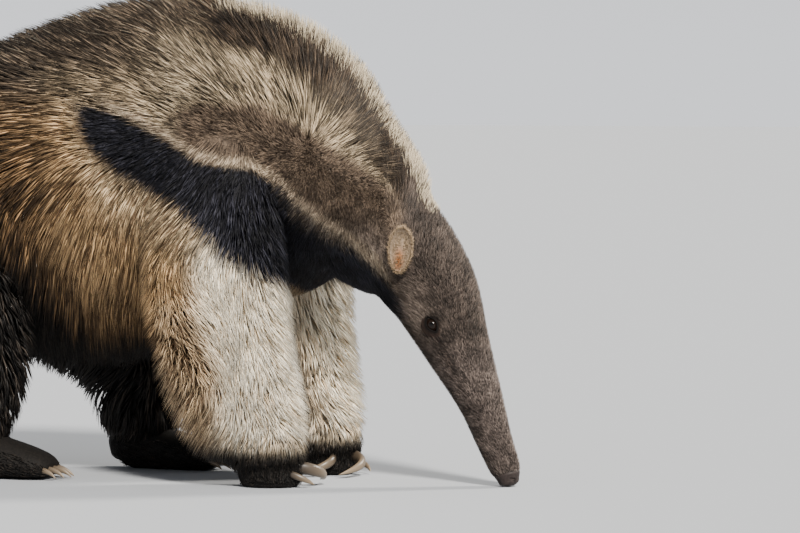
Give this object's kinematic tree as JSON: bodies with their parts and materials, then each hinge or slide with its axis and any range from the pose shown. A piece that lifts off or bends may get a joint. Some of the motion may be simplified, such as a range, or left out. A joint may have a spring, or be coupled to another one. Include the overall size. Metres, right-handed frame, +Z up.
{
  "type": "giant anteater",
  "caption": "Life-size still model of a giant anteater standing on four feet, its long snout lowered to the ground, with a crest, shaggy legs and a long-haired tail.",
  "frame": {"origin": "on the ground, below the middle of the animal's outline", "axes": "+X towards the head, +Y towards the animal's left, +Z up"},
  "size_m": [1.7718, 0.3658, 0.6309],
  "materials": {
    "short_fur": "short salt-and-pepper fur over skin",
    "grizzled_coat": "coarse long hair, banded dark and cream",
    "tail_hair": "coarse long hair, dark grey-brown",
    "foreleg_hair": "long cream hair",
    "dark_hair": "long black-brown hair",
    "foot_skin": "dark, rough skin with short hair",
    "ear_skin": "thin skin with a pale fringe",
    "eye": "dark and wet",
    "horn": "horn, worn smooth; matte plastic stands in for horn"
  },
  "bodies": {
    "root": {"claw_fore_left_2": "horn", "claw_fore_left_3": "horn", "claw_fore_left_4": "horn", "claw_fore_right_2": "horn", "claw_fore_right_3": "horn", "claw_fore_right_4": "horn", "claw_hind_left_1": "horn", "claw_hind_left_2": "horn", "claw_hind_left_3": "horn", "claw_hind_left_4": "horn", "claw_hind_left_5": "horn", "claw_hind_right_1": "horn", "claw_hind_right_2": "horn", "claw_hind_right_3": "horn", "claw_hind_right_4": "horn", "claw_hind_right_5": "horn", "ear_left": "ear_skin", "ear_right": "ear_skin", "eye_left": "eye", "eye_right": "eye", "forefoot_left": "foot_skin", "forefoot_right": "foot_skin", "foreleg_left": "foreleg_hair", "foreleg_right": "foreleg_hair", "head": "short_fur", "hindfoot_left": "foot_skin", "hindfoot_right": "foot_skin", "hindleg_left": "dark_hair", "hindleg_right": "dark_hair", "neck": "short_fur", "tail_base": "tail_hair", "tail_middle": "tail_hair", "tail_tip": "tail_hair", "torso_front": "grizzled_coat", "torso_rear": "grizzled_coat"}
  },
  "joints": []
}
